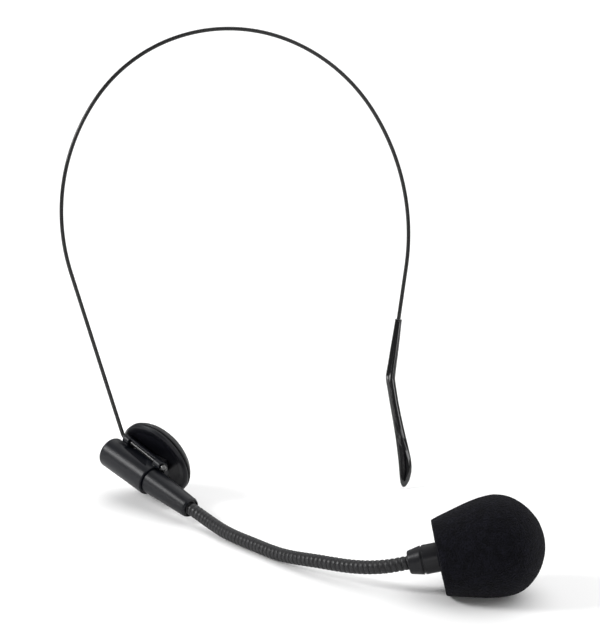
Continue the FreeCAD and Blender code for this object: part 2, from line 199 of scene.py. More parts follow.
def transport(path):
    """Tangents and non-twisting cross axes along a path."""
    path = np.asarray(path, float)
    t = np.gradient(path, axis=0)
    t /= np.linalg.norm(t, axis=1)[:, None]
    n = np.cross(t[0], (0.3, 0.2, 1.0))
    n = unit(n)
    ns = []
    for i in range(len(path)):
        n = unit(n - t[i] * (n @ t[i]))
        ns.append(n)
    ns = np.array(ns)
    return t, ns, np.cross(t, ns)


def skin(rings, name, caps=True, close=False, sharp=None):
    """Faces between rings of equal size."""
    seg = len(rings[0])
    pts = np.concatenate(rings)
    faces = []
    m = len(rings)
    for i in range(m if close else m - 1):
        a, b = i * seg, ((i + 1) % m) * seg
        for k in range(seg):
            j = (k + 1) % seg
            faces.append((a + k, b + k, b + j, a + j))
    if caps and not close:
        faces.append(tuple(range(seg))[::-1])
        faces.append(tuple(range((m - 1) * seg, m * seg)))
    return make(name, pts, faces, sharp=sharp)


def tube(name, path, radius, seg=24, round_ends=True):
    path = np.asarray(path, float)
    t, n, b = transport(path)
    rings = []
    r = radius if np.ndim(radius) else np.full(len(path), float(radius))
    ang = np.linspace(0, 2 * math.pi, seg, endpoint=False)

    def ring(c, nn, bb, rr):
        return c + rr * (np.cos(ang)[:, None] * nn + np.sin(ang)[:, None] * bb)
    if round_ends:
        for k in (0.35, 0.75):
            rings.append(ring(path[0] - t[0] * r[0] * 0.35 * (1 - k), n[0], b[0], r[0] * math.sqrt(k)))
    for i in range(len(path)):
        rings.append(ring(path[i], n[i], b[i], r[i]))
    if round_ends:
        for k in (0.75, 0.35):
            rings.append(ring(path[-1] + t[-1] * r[-1] * 0.35 * (1 - k), n[-1], b[-1], r[-1] * math.sqrt(k)))
    return skin(rings, name)


def prism(name, polygon, fr, z0, z1):
    n = len(polygon)
    pts = [(x, y, z0) for x, y in polygon] + [(x, y, z1) for x, y in polygon]
    faces = [tuple(range(n))[::-1], tuple(range(n, 2 * n))]
    for k in range(n):
        j = (k + 1) % n
        faces.append((k, j, n + j, n + k))
    return make(name, fr.many(pts), faces, smooth=False)


def apply_all(o):
    dg = bpy.context.evaluated_depsgraph_get()
    me = bpy.data.meshes.new_from_object(o.evaluated_get(dg))
    old = o.data
    o.modifiers.clear()
    o.data = me
    bpy.data.meshes.remove(old)
    return o


def boolean(o, cutter, op="DIFFERENCE"):
    m = o.modifiers.new("b", "BOOLEAN")
    m.operation, m.object, m.solver = op, cutter, "MANIFOLD"
    apply_all(o)
    bpy.data.objects.remove(cutter)
    return o


def join(name, objs):
    bm = bmesh.new()
    for o in objs:
        bm.from_mesh(o.data)
        bpy.data.objects.remove(o)
    me = bpy.data.meshes.new(name)
    bm.to_mesh(me)
    bm.free()
    o = bpy.data.objects.new(name, me)
    bpy.context.scene.collection.objects.link(o)
    return o


# ------------------------------------------------------------------- materials
def material(name, base, rough=0.45, metallic=0.0, grain=(900.0, 0.02), mottling=(160.0, 0.15),
             rough_var=0.08, coat=0.0, specular=0.5, sheen=0.0, cells_and_shade=None, scratches=None, painted_shade=None):
    m = bpy.data.materials.new(name)
    m.use_nodes = True
    nt = m.node_tree
    nt.nodes.clear()
    N, L = nt.nodes.new, nt.links.new
    out = N("ShaderNodeOutputMaterial")
    p = N("ShaderNodeBsdfPrincipled")
    L(p.outputs[0], out.inputs[0])
    tc = N("ShaderNodeTexCoord")
    co = tc.outputs["Object"]
    p.inputs["Metallic"].default_value = metallic
    p.inputs["Specular IOR Level"].default_value = specular
    if coat:
        p.inputs["Coat Weight"].default_value = coat
        p.inputs["Coat Roughness"].default_value = 0.12
    if sheen:
        p.inputs["Sheen Weight"].default_value = sheen
        p.inputs["Sheen Roughness"].default_value = 0.6
    big = N("ShaderNodeTexNoise")
    big.inputs["Scale"].default_value = mottling[0]
    big.inputs["Detail"].default_value = 4
    L(co, big.inputs["Vector"])
    fine = N("ShaderNodeTexNoise")
    fine.inputs["Scale"].default_value = grain[0]
    fine.inputs["Detail"].default_value = 3
    L(co, fine.inputs["Vector"])
    # colour: base varied by the mottling
    ramp = N("ShaderNodeMapRange")
    ramp.inputs["From Min"].default_value = 0.3
    ramp.inputs["From Max"].default_value = 0.7
    ramp.inputs["To Min"].default_value = 1 - mottling[1]
    ramp.inputs["To Max"].default_value = 1 + mottling[1]
    L(big.outputs["Fac"], ramp.inputs["Value"])
    mul = N("ShaderNodeVectorMath")
    mul.operation = "SCALE"
    mul.inputs[0].default_value = base[:3]
    L(ramp.outputs[0], mul.inputs["Scale"])
    colour = mul.outputs[0]
    if painted_shade:                                   # painted shade: an attribute mask mixes in a darker colour
        at = N("ShaderNodeAttribute")
        at.attribute_name = painted_shade[0]
        mix = N("ShaderNodeMix")
        mix.data_type = "RGBA"
        L(at.outputs["Fac"], mix.inputs["Factor"])
        L(colour, mix.inputs["A"])
        mix.inputs["B"].default_value = (*painted_shade[1], 1)
        colour = mix.outputs["Result"]
    rr = N("ShaderNodeMapRange")
    rr.inputs["From Min"].default_value = 0.3
    rr.inputs["From Max"].default_value = 0.7
    rr.inputs["To Min"].default_value = max(0.03, rough - rough_var)
    rr.inputs["To Max"].default_value = min(1, rough + rough_var)
    L(fine.outputs["Fac"], rr.inputs["Value"])
    L(rr.outputs[0], p.inputs["Roughness"])
    height = fine.outputs["Fac"]
    bump = N("ShaderNodeBump")
    bump.inputs["Distance"].default_value = grain[1] * MM
    bump.inputs["Strength"].default_value = 1.0
    L(height, bump.inputs["Height"])
    normal = bump.outputs[0]
    if cells_and_shade:                                  # (scale, depth mm, darkness): cell bump, plus painted shade darker in the hollows
        vo = N("ShaderNodeTexVoronoi")
        vo.inputs["Scale"].default_value = cells_and_shade[0]
        L(co, vo.inputs["Vector"])
        b2 = N("ShaderNodeBump")
        b2.inputs["Distance"].default_value = cells_and_shade[1] * MM
        L(vo.outputs["Distance"], b2.inputs["Height"])
        L(normal, b2.inputs["Normal"])
        normal = b2.outputs[0]
        # painted shade: colour darkest at the cell centres, where the bump is hollow
        mr = N("ShaderNodeMapRange")
        mr.inputs["From Min"].default_value = 0.0
        mr.inputs["From Max"].default_value = 0.6
        mr.inputs["To Min"].default_value = 1 - cells_and_shade[2]
        mr.inputs["To Max"].default_value = 1 + cells_and_shade[2] * 0.5
        L(vo.outputs["Distance"], mr.inputs["Value"])
        m2 = N("ShaderNodeVectorMath")
        m2.operation = "SCALE"
        L(colour, m2.inputs[0])
        L(mr.outputs[0], m2.inputs["Scale"])
        colour = m2.outputs[0]
    if scratches:                              # (scale, stretch, strength)
        mp = N("ShaderNodeMapping")
        mp.inputs["Scale"].default_value = scratches[1]
        L(co, mp.inputs["Vector"])
        sn = N("ShaderNodeTexNoise")
        sn.inputs["Scale"].default_value = scratches[0]
        sn.inputs["Detail"].default_value = 2
        L(mp.outputs[0], sn.inputs["Vector"])
        b3 = N("ShaderNodeBump")
        b3.inputs["Distance"].default_value = scratches[2] * MM
        L(sn.outputs["Fac"], b3.inputs["Height"])
        L(normal, b3.inputs["Normal"])
        normal = b3.outputs[0]
    L(normal, p.inputs["Normal"])
    L(colour, p.inputs["Base Color"])
    return m


MATS = {
    "band_wire": material("coated_wire", (0.006, 0.006, 0.0062), 0.30, grain=(2600, 0.006), mottling=(420, 0.3),
                          rough_var=0.1, specular=0.4),
    "bead_steel": material("bead_steel", (0.10, 0.10, 0.10), 0.33, 0.9, grain=(3000, 0.01), rough_var=0.12),
    "tip_gloss": material("tip_gloss_plastic", (0.003, 0.003, 0.0035), 0.11, grain=(700, 0.006), mottling=(90, 0.2),
                          rough_var=0.03, specular=0.6),
    "barrel_black": material("barrel_satin_plastic", (0.0034, 0.0040, 0.0062), 0.36, grain=(5200, 0.014),
                             mottling=(130, 0.15), rough_var=0.07, specular=0.22),
    "collar_black": material("collar_satin_plastic", (0.0034, 0.0039, 0.0058), 0.38, grain=(5200, 0.014),
                             mottling=(130, 0.15), rough_var=0.07, specular=0.22),
    "pad_plate": material("pad_plate_plastic", (0.0048, 0.0050, 0.0072), 0.36, grain=(4200, 0.010), mottling=(110, 0.15),
                          rough_var=0.08, specular=0.24),
    "pad_rubber": material("pad_soft_rubber", (0.006, 0.006, 0.007), 0.5, grain=(2400, 0.02), mottling=(140, 0.2),
                           rough_var=0.1, specular=0.35),
    # knit face: its cell pattern carries painted shade in the hollows
    "pad_face": material("pad_knit_face", (0.008, 0.008, 0.0095), 0.9, grain=(2600, 0.05), mottling=(200, 0.25),
                         cells_and_shade=(1700, 0.12, 0.5), sheen=0.06, specular=0.2),
    "screw_steel": material("screw_steel", (0.45, 0.45, 0.46), 0.35, 1.0, grain=(2600, 0.01), rough_var=0.1,
                            scratches=(900, (1, 6, 1), 0.01)),
    "socket_metal": material("socket_nickel", (0.6, 0.59, 0.56), 0.25, 1.0, grain=(2600, 0.006), rough_var=0.08),
    "nut_black": material("nut_black_metal", (0.02, 0.02, 0.022), 0.38, 0.6, grain=(3200, 0.01), rough_var=0.1),
    "socket_plastic": material("socket_plastic", (0.025, 0.025, 0.026), 0.5, grain=(3200, 0.012)),
    "contact_brass": material("contact_brass", (0.7, 0.52, 0.24), 0.3, 1.0, grain=(2600, 0.008)),
    "board_green": material("board_laminate", (0.02, 0.11, 0.04), 0.45, grain=(1800, 0.02), mottling=(500, 0.3)),
    "bush_white": material("bush_acetal", (0.75, 0.75, 0.71), 0.4, grain=(2200, 0.01), mottling=(200, 0.05)),
    "ferrule_black": material("ferrule_blackened", (0.016, 0.016, 0.016), 0.45, 0.5, grain=(2200, 0.01)),
    # gooseneck: painted shade, a darker colour mixed in along the coil grooves and inside the tube
    "gooseneck_black": material("gooseneck_coated_coil", (0.0078, 0.0078, 0.0092), 0.44, grain=(3600, 0.018),
                                mottling=(210, 0.25), rough_var=0.1, specular=0.38, painted_shade=("groove", (0.002, 0.002, 0.0025))),
    "lead_black": material("lead_rubber", (0.02, 0.02, 0.02), 0.5, grain=(2600, 0.01)),
    "mic_black": material("mic_anodised", (0.006, 0.006, 0.0078), 0.36, 0.1, grain=(4200, 0.010), mottling=(140, 0.15),
                          rough_var=0.08, specular=0.28),
    "boot_rubber": material("boot_rubber", (0.02, 0.02, 0.02), 0.7, grain=(2400, 0.02)),
    "capsule_alu": material("capsule_aluminium", (0.72, 0.72, 0.72), 0.3, 1.0, grain=(2600, 0.01)),
    "diaphragm_film": material("diaphragm_film", (0.5, 0.42, 0.2), 0.25, 0.8, grain=(2600, 0.005)),
    "felt_black": material("felt", (0.015, 0.015, 0.015), 0.95, grain=(2400, 0.05), sheen=0.3),
    "grille_black": material("grille_black", (0.02, 0.02, 0.02), 0.4, 0.6, grain=(2600, 0.01)),
    # foam: its pores carry painted shade in the hollows
    "foam_black": material("open_foam", (0.0025, 0.0025, 0.0042), 0.95, grain=(2400, 0.12), mottling=(420, 0.5),
                           rough_var=0.04, specular=0.08, sheen=0.02, cells_and_shade=(1550, 0.30, 0.95)),
}


def paint(o, slot):
    o.data.materials.clear()
    o.data.materials.append(MATS[slot])
    return o


slot_of = {s["node"]: s["material_slot"] for s in frame["record"]["subparts"]}
for n, o in frame["nodes"].items():
    o.data.materials.clear()
    o.data.materials.append(MATS[slot_of[n]])


# --------------------------------------------------------------------- camera
cam_data = bpy.data.cameras.new("camera")
cam = bpy.data.objects.new("camera", cam_data)
bpy.context.scene.collection.objects.link(cam)
PSI = math.radians(6.1)
ELEV = math.radians(15.1)
cam_pos = (A(-51.257, -733.708, 280.2) + SHIFT) * MM
fwd = Vector((math.sin(PSI) * math.cos(ELEV), math.cos(PSI) * math.cos(ELEV), -math.sin(ELEV)))
cam.location = Vector(cam_pos)
cam.rotation_euler = fwd.to_track_quat("-Z", "Y").to_euler()
cam_data.sensor_width = 36.0
cam_data.lens = 2000.0 * 36.0 / 637.0
cam_data.clip_start = 0.02
cam_data.clip_end = 50
bpy.context.scene.camera = cam


# -------------------------------------------------------------- headband wire
def in_plane(p):
    p = np.atleast_2d(np.asarray(p, float))
    return PIVOT_CORNER + p[:, :1] * UX + p[:, 1:2] * UY


def band_path(step=1.2):
    ang, pos = LEG_ANGLE, A(0.0, 0.0)
    leg = UX * math.cos(ang) + UY * math.sin(ang)
    turn = math.acos(max(-1, min(1, -(leg @ PIVOT_DIR))))
    tl = CORNER_R * math.tan(turn / 2)
    c0, c1 = PIVOT_CORNER + PIVOT_DIR * tl, PIVOT_CORNER + leg * tl
    bis = unit(unit(PIVOT_DIR) + unit(leg))
    centre = PIVOT_CORNER + bis * (CORNER_R / math.cos(turn / 2))
    pts = [PIVOT_CORNER + PIVOT_DIR * s for s in np.linspace(PIVOT_END, tl, 14)[:-1]]
    va, vb = c0 - centre, c1 - centre
    for k in range(13):
        w = k / 12
        ang_k = turn * w
        pts.append(centre + (math.sin(turn - ang_k) * va + math.sin(ang_k) * vb) / math.sin(turn))
    flat = []
    n = int(LEG_LEN / step)
    for s in np.linspace(0, LEG_LEN, n):
        if s > tl + 0.4:
            flat.append(A(s * math.cos(ang), s * math.sin(ang)))
    pos = A(LEG_LEN * math.cos(ang), LEG_LEN * math.sin(ang))

    def arc(radius, length, side):
        nonlocal ang, pos
        k = side / radius
        m = max(6, int(length / step))
        for s in np.linspace(0, length, m + 1)[1:]:
            flat.append(A(pos[0] + (math.sin(ang + k * s) - math.sin(ang)) / k,
                          pos[1] - (math.cos(ang + k * s) - math.cos(ang)) / k))
        pos, ang = flat[-1].copy(), ang + k * length
    for r, l in ARCS:
        arc(r, l, -1)
    start = pos.copy()
    for s in np.linspace(0, RIGHT_LEG, 24)[1:]:
        flat.append(start + A(math.cos(ang), math.sin(ang)) * s)
    pos = flat[-1].copy()
    kink, before = pos.copy(), ang
    arc(KINK_R, KINK_R * KINK_TURN, 1)
    after, end = pos.copy(), ang
    for s in np.linspace(0, WIRE_TAIL, 6)[1:]:
        flat.append(after + A(math.cos(ang), math.sin(ang)) * s)
    return np.vstack([np.array(pts), in_plane(flat)]), kink, before, after, end


wire_pts, kink2, head_before, after2, head_after = band_path()
wire = tube("band_wire", wire_pts, WIRE_R, seg=28)
paint(wire, "band_wire")
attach(wire, "headband")
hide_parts("headband_wire")

# bead that closes the wire's end
bead_prof = [(0.0, 28.0), (0.55, 27.93), (0.95, 27.68), (1.22, 27.2), (1.35, 26.6), (1.33, 26.1), (1.16, 25.68),
             (1.0, 25.58), (0.82, 25.58), (0.82, 26.24), (0.0, 26.24)]
bead = revolve("wire_bead", rounded(bead_prof, 0.2, 3), WF, 40)
paint(bead, "bead_steel")
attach(bead, "headband")
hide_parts("wire_end_bead")

# ----------------------------------------------------------------- temple tip
d_before = A(math.cos(head_before), math.sin(head_before))
d_after = A(math.cos(head_after), math.sin(head_after))
# (distance along, half width, half depth, sideways shift, ridge angle deg, ridge height)
TIP = [(-22.7, 0.98, 0.98, 0.05, 135, 0.0), (-22.68, 1.22, 1.22, 0.05, 135, 0.0), (-22.55, 1.40, 1.40, 0.05, 135, 0.0),
       (-22.2, 1.43, 1.43, 0.05, 135, 0.0), (-21.7, 1.39, 1.39, 0.05, 135, 0.0), (-20.5, 1.42, 1.42, 0.05, 135, 0.0),
       (-15.0, 1.62, 1.60, 0.1, 135, 0.0), (-9.0, 1.78, 1.72, 0.1, 135, 0.0), (-4.0, 1.86, 1.78, 0.1, 135, 0.03),
       (-1.2, 1.95, 1.82, 0.08, 135, 0.06), (0.6, 2.02, 1.84, 0.07, 135, 0.09), (2.4, 1.96, 1.78, 0.1, 135, 0.12),
       (5.0, 1.88, 1.70, 0.14, 135, 0.14), (12.0, 1.86, 1.60, 0.2, 134, 0.15), (17.0, 1.91, 1.55, 0.38, 128, 0.16),
       (21.0, 1.99, 1.52, 0.54, 119, 0.16), (26.0, 2.16, 1.48, 0.76, 99, 0.16), (30.0, 2.37, 1.46, 0.90, 78, 0.15),
       (33.0, 2.54, 1.44, 0.98, 60, 0.13), (35.5, 2.67, 1.42, 1.02, 48, 0.09), (38.5, 2.70, 1.38, 0.86, 42, 0.04),
       (41.0, 2.56, 1.30, 0.52, 40, 0.01), (43.0, 2.22, 1.18, 0.06, 40, 0.0), (44.6, 1.76, 1.02, -0.35, 40, 0.0),
       (45.7, 1.22, 0.80, -0.65, 40, 0.0), (46.3, 0.74, 0.52, -0.82, 40, 0.0), (46.55, 0.28, 0.2, -0.9, 40, 0.0)]


def tip_centre(s):
    arc_len = KINK_R * KINK_TURN
    if s <= 0:
        return kink2 + d_before * s, d_before
    if s < arc_len:
        a = head_before + s / KINK_R
        k = 1 / KINK_R
        p = kink2 + A((math.sin(a) - math.sin(head_before)) / k, -(math.cos(a) - math.cos(head_before)) / k)
        return p, A(math.cos(a), math.sin(a))
    return after2 + d_after * (s - arc_len), d_after


tip_s = np.array([t[0] for t in TIP])
fine_s = np.arange(-21.4, 44.4, 0.1)
fine = np.stack([np.interp(fine_s, tip_s, [t[i] for t in TIP]) for i in range(1, 6)])
kern = np.hanning(31)
kern /= kern.sum()
pad = np.pad(fine, ((0, 0), (15, 15)), mode="edge")
fine = np.stack([np.convolve(row, kern, mode="valid") for row in pad])
head = [t for t in TIP if t[0] < -21.4]
tail_rows = [t for t in TIP if t[0] > 44.4]
grid = np.concatenate([[t[0] for t in head], fine_s[::5], [t[0] for t in tail_rows]])
cols = [np.concatenate([[t[i + 1] for t in head], fine[i][::5], [t[i + 1] for t in tail_rows]]) for i in range(5)]
rings = []
SEG = 72
phi = np.linspace(0, 2 * math.pi, SEG, endpoint=False)
for i, s in enumerate(grid):
    w, dpt, sh, ra, rh = (c[i] for c in cols)
    c2, dr = tip_centre(s)
    side = A(dr[1], -dr[0])                     # in the band's plane, towards +X
    if side[0] < 0:
        side = -side
    centre = in_plane(c2 + side * sh)[0]
    sv = UX * side[0] + UY * side[1]
    face = UZ                                   # towards the side that the boom is on
    ridge = math.radians(ra)
    dphi = (phi - ridge + math.pi) % (2 * math.pi) - math.pi
    flat = np.cos(0.24) / np.cos(np.clip(dphi, -0.24, 0.24))
    fade = np.clip((np.abs(dphi) - 0.24) / 0.40, 0, 1)
    k = 1 + (rh * 0.55) * (1 - fade * fade * (3 - 2 * fade))
    k = k * (1 + (flat - 1) * np.clip(rh / 0.12, 0, 1) * (np.abs(dphi) < 0.24))
    n_exp = 2.0
    cx, sx = np.cos(phi), np.sin(phi)
    rings.append(centre + (w * k * cx)[:, None] * sv + (dpt * k * sx)[:, None] * face)
tip = skin(rings, "temple_tip_skin")
paint(tip, "tip_gloss")
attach(tip, "headband")
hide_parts("temple_tip")

# ------------------------------------------------------------ barrel moulding
barrel_prof = rounded([(0, 0), (3.2, 0, 0), (BARREL_R, 0, 2.4), (BARREL_R, BARREL_LEN, 0.4), (0, BARREL_LEN)], 0.4, 8)
parts = [revolve("p0", dense(barrel_prof, 0.8), HF, 128)]
hub = prism("p1", [(-10.2, -2.4), (7.2, -2.4), (7.2, 3.4), (-10.2, 3.4)], PF, -0.5, 7.2)
parts.append(hub)


parts.append(prism("p2", [(0.0, -1.55), (-0.9, -1.5), (-2.7, 0.55), (-2.7, 6.1), (-1.2, 6.1), (0.0, 2.6)], WF,
                   LUG1[0], LUG2[1]))
parts.append(prism("p4", [(-1.0, 0.0), (1.8, 0.0), (1.8, 3.0), (-1.0, 3.0)], WF, LUG1[0] + 0.1, LUG1[1]))
parts.append(prism("p5", [(-1.0, 0.0), (1.8, 0.0), (1.8, 1.6), (-1.0, 1.6)], WF, LUG2[0], 22.8))
for z0, z1 in (LUG1, LUG2):
    parts.append(revolve("p3", rounded([(0, z0), (LUG_R, z0, 0.35), (LUG_R, z1, 0.35), (0, z1)], 0.3, 4), WF, 48))
body = join("barrel_moulding", parts)
m = body.modifiers.new("r", "REMESH")
m.mode, m.voxel_size = "VOXEL", 0.17 * MM
apply_all(body)
# slot between the wire and a flat on the barrel's side
s_mid = (LUG1[1] + LUG2[0]) / 2
w_mid = WF.at(0, 0, s_mid)
a_mid = HF.o + HF.z * ((w_mid - HF.o) @ HF.z)
SF = Frame(PIVOT_CORNER, PIVOT_DIR, a_mid - w_mid)
gap = float(np.linalg.norm(a_mid - w_mid))
sign = 1 if SF.y @ WF.x > 0 else -1
p0, p1 = sorted((-SLOT_DEPTH * sign, 9.0 * sign))
cut = prism("c0", [(0.4, p0), (gap - FLAT_FROM_AXIS, p0), (gap - FLAT_FROM_AXIS, p1), (0.4, p1)], SF,
            LUG1[1] + 0.5, LUG2[0] - 0.5)
boolean(body, cut)
sm = body.modifiers.new("s", "SMOOTH")
sm.factor, sm.iterations = 0.5, 7
apply_all(body)
boolean(body, revolve("c1", [(0, -3), (WIRE_R + 0.06, -3), (WIRE_R + 0.06, 32), (0, 32)], WF, 32))
boolean(body, revolve("c2", [(0, -5), (3.05, -5), (3.05, 1.7), (4.6, 1.7), (4.6, 40), (0, 40)], HF, 72))
body.data.polygons.foreach_set("use_smooth", [True] * len(body.data.polygons))
body.data.set_sharp_from_angle(angle=math.radians(50))
paint(body, "barrel_black")
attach(body, "housing")
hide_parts("barrel_shell")

# ----------------------------------------------------------------- temple pad
plate_prof = rounded([(0, -0.6), (9.5, -0.6, 3.0), (12.9, -0.42, 1.5), (15.1, 0.03, 0.5), (15.9, 0.0, 0.4), (16.6, -0.7, 0.3),
                      (16.6, -1.4, 0.25), (15.85, -1.56, 0.15), (15.8, -2.0, 0.15), (0, -2.0)], 0.2, 6)
plate = revolve("pad_plate", dense(plate_prof, 0.9), PF, 160, sharp=50)
paint(plate, "pad_plate")
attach(plate, "housing")
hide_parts("pad_back_plate")

cushion_prof = rounded([(0, -2.05), (15.7, -2.05, 0.15), (16.25, -2.08, 0.3), (16.5, -2.5, 0.35), (16.3, -3.0, 0.6),
                        (15.6, -3.95, 1.2), (14.4, -5.15, 1.4), (13.2, -5.95, 1.0), (12.25, -6.24, 0.25),
                        (12.05, -6.0, 0.2), (11.9, -6.22, 0.2), (0, -6.3)], 0.3, 6)


def pad_swell(p):
    r = np.hypot(p[:, 0], p[:, 1])
    a = np.arctan2(p[:, 1], p[:, 0])
    soft = np.clip((-p[:, 2] - 2.2) / 2.5, 0, 1) * (r > 12.4)
    k = 1 + soft * (0.0022 * np.sin(3 * a + 0.7) + 0.0016 * np.sin(7 * a + 2.1))
    q = p.copy()
    q[:, 0] *= k
    q[:, 1] *= k
    return q


cushion = revolve("pad_cushion_skin", dense(cushion_prof, 0.5), PF, 180, warp=pad_swell)
paint(cushion, "pad_rubber")
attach(cushion, "housing")
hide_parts("pad_cushion")

face_prof = rounded([(0, -6.34), (11.6, -6.34, 0.15), (11.8, -6.6, 0.2), (11.45, -6.95, 0.3), (0, -6.97)], 0.2, 5)


def knit(p):
    q = p.copy()
    out = p[:, 2] < -6.8
    q[:, 2] += out * 0.035 * (np.sin(p[:, 0] * 2 * math.pi / 0.9) * np.sin(p[:, 1] * 2 * math.pi / 0.9))
    return q


face = revolve("pad_face_skin", dense(face_prof, 0.18), PF, 320, warp=knit)
paint(face, "pad_face")
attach(face, "housing")
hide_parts("pad_face_disc")

# ---------------------------------------------------------------- boom collar
R1, R2 = 5.25, 3.95
collar_prof = rounded([(1.2, 17.2), (3.55, 17.2), (3.55, 17.8), (3.0, 17.8), (3.0, 18.7), (3.55, 18.7),
                       (3.55, COLLAR_START, 0.1), (5.0, COLLAR_START, 0.12), (R1, COLLAR_START + 0.3, 0.25),
                       (R1 - 0.1, 28.5, 2.0), (R2 + 0.1, 48.9, 0.5), (R2 - 0.32, COLLAR_END, 0.2),
                       (3.32, COLLAR_END, 0.12), (3.25, COLLAR_END - 0.5, 0.1), (3.25, 36.0, 0.1), (1.2, 36.0, 0.1)],
                      0.06, 4, closed=True)
collar = revolve("collar_skin", dense(collar_prof + collar_prof[:1], 1.0)[:-1], HF, 128, closed=True, sharp=55)
hole = make("c3", *(lambda f: (f[0], f[1]))((lambda ang: (
    [HF.at(x, 1.0 * math.cos(a), 43.0 + 1.0 * math.sin(a)) for x in (2.5, 8.0) for a in ang],
    [tuple(range(24))[::-1], tuple(range(24, 48))] + [(k, (k + 1) % 24, 24 + (k + 1) % 24, 24 + k) for k in range(24)]
))([2 * math.pi * k / 24 for k in range(24)])), smooth=False)
boolean(collar, hole)
collar.data.polygons.foreach_set("use_smooth", [True] * len(collar.data.polygons))
collar.data.set_sharp_from_angle(angle=math.radians(50))
paint(collar, "collar_black")
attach(collar, "boom_base")
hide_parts("boom_collar")

# ------------------------------------------------------------------ gooseneck
C1 = HF.at(0, 0, COLLAR_END)
knots = [HF.at(0, 0, 38.2), C1] + HINGES + [MIC_REAR, MF.at(0, 0, 4.0)]


def spline(points, t0, t1, step=0.12):
    """Natural-looking cubic through the points with given end directions."""
    P = np.array(points)
    h = np.linalg.norm(np.diff(P, axis=0), axis=1)
    u = np.r_[0, np.cumsum(h)]
    n = len(P)
    M = np.zeros((n, n))
    rhs = np.zeros((n, 3))
    M[0, 0] = M[-1, -1] = 1
    rhs[0], rhs[-1] = t0, t1
    for i in range(1, n - 1):
        a, b = h[i - 1], h[i]
        M[i, i - 1], M[i, i], M[i, i + 1] = b, 2 * (a + b), a
        rhs[i] = 3 * (b * (P[i] - P[i - 1]) / a + a * (P[i + 1] - P[i]) / b)
    T = np.linalg.solve(M, rhs)
    out, at = [], []
    for i in range(n - 1):
        m = max(2, int(h[i] / step))
        for k in range(m if i < n - 2 else m + 1):
            w = k / m
            h00, h10 = 2 * w ** 3 - 3 * w ** 2 + 1, w ** 3 - 2 * w ** 2 + w
            h01, h11 = -2 * w ** 3 + 3 * w ** 2, w ** 3 - w ** 2
            out.append(h00 * P[i] + h10 * h[i] * T[i] + h01 * P[i + 1] + h11 * h[i] * T[i + 1])
            at.append(u[i] + w * h[i])
    return np.array(out), np.array(at), u


neck, neck_u, knot_u = spline(knots, BOOM_DIR, MIC_DIR)
arc_s = np.r_[0, np.cumsum(np.linalg.norm(np.diff(neck, axis=0), axis=1))]
RIB_PITCH, NECK_R, NECK_IN = 1.95, 2.5, 1.45
tt, nn, bb = transport(neck)
mid_u = [knot_u[0]] + [(knot_u[i] + knot_u[i + 1]) / 2 for i in range(2, 8)] + [knot_u[-1]]
SEGN = 48
angn = np.linspace(0, 2 * math.pi, SEGN, endpoint=False)


def rib_shape(s):
    """Round-topped coil turns with a narrow groove between them; s in turns."""
    f = s - np.floor(s)
    x = np.abs(f - 0.5) * 2                      # 0 at the crown, 1 in the groove
    return -0.30 * np.clip((x - 0.25) / 0.75, 0, 1) ** 2.2


def neck_piece(k, outer):
    lo, hi = mid_u[k - 1], mid_u[k]
    idx = np.where((neck_u >= lo - 1e-9) & (neck_u <= hi + 1e-9))[0]
    if idx[0] > 0 and neck_u[idx[0]] - lo > 1e-6:
        idx = np.r_[idx[0] - 1, idx]
    rings_, groove = [], []
    if outer:
        for i in idx:
            sh = rib_shape(arc_s[i] / RIB_PITCH - angn / (2 * math.pi))
            r = NECK_R + 0.03 + sh
            rings_.append(neck[i] + (r * np.cos(angn))[:, None] * nn[i] + (r * np.sin(angn))[:, None] * bb[i])
            # painted shade mask: 0 on the crown, 1 deep in the groove
            groove.append(np.clip(-sh / 0.30, 0, 1))
        # inner wall rings, fully inside the painted shade mask
        for i in idx[::-4]:
            rings_.append(neck[i] + NECK_IN * np.cos(angn)[:, None] * nn[i] + NECK_IN * np.sin(angn)[:, None] * bb[i])
            groove.append(np.ones(SEGN))
        o = skin(rings_, "gooseneck_%d" % k, close=True)
        # store the painted shade mask for the gooseneck material
        at = o.data.attributes.new("groove", "FLOAT", "POINT")
        at.data.foreach_set("value", np.concatenate(groove).astype(np.float32))
        paint(o, "gooseneck_black")
    else:
        path = neck[idx][::5]
        if not np.allclose(path[-1], neck[idx[-1]]):
            path = np.vstack([path, neck[idx[-1]]])
        if k == 1:
            path = np.vstack([[HF.at(0, 0, z) for z in (13.9, 18, 22, 26, 30, 34)], path])
        if k == 7:
            path = np.vstack([path, [MF.at(0, 0, z) for z in (7, 10, 13, 16, 18.6)]])
        o = tube("lead_%d" % k, path, 0.7, 16, round_ends=False)
        paint(o, "lead_black")
    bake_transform(o)
    name = "gooseneck_link_%d" if outer else "boom_lead_%d"
    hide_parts(*([name % k] + ([name % 8] if k == 7 else [])))
    return o


for k in range(1, 8):
    neck_piece(k, True)
    neck_piece(k, False)

# ----------------------------------------------------------------- microphone
tail_prof = rounded([(2.62, -0.02, 0.1), (3.98, 0.0, 0.12), (4.22, 0.28, 0.15), (5.2, 4.5, 0.6), (5.2, 4.84, 0.08),
                     (4.85, 4.92, 0.05), (4.85, 5.3, 0.05), (4.2, 5.3), (4.2, 8.4), (3.45, 8.4), (3.45, 0.9),
                     (2.62, 0.9)], 0.05, 4, closed=True)
tail = revolve("mic_tail_skin", dense(tail_prof + tail_prof[:1], 0.8)[:-1], MF, 128, closed=True, sharp=50)
paint(tail, "mic_black")
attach(tail, "microphone")
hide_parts("mic_tail_collar")
sleeve_prof = rounded([(4.25, 5.4), (5.14, 5.4, 0.1), (5.3, 5.58, 0.12), (5.3, 12.85, 0.15), (5.15, 13.05), (5.0, 13.05),
                       (5.0, 24.0), (4.3, 24.0), (4.3, 8.45), (4.25, 8.45)], 0.05, 4, closed=True)
sleeve = revolve("mic_sleeve_skin", dense(sleeve_prof + sleeve_prof[:1], 0.8)[:-1], MF, 128, closed=True, sharp=50)
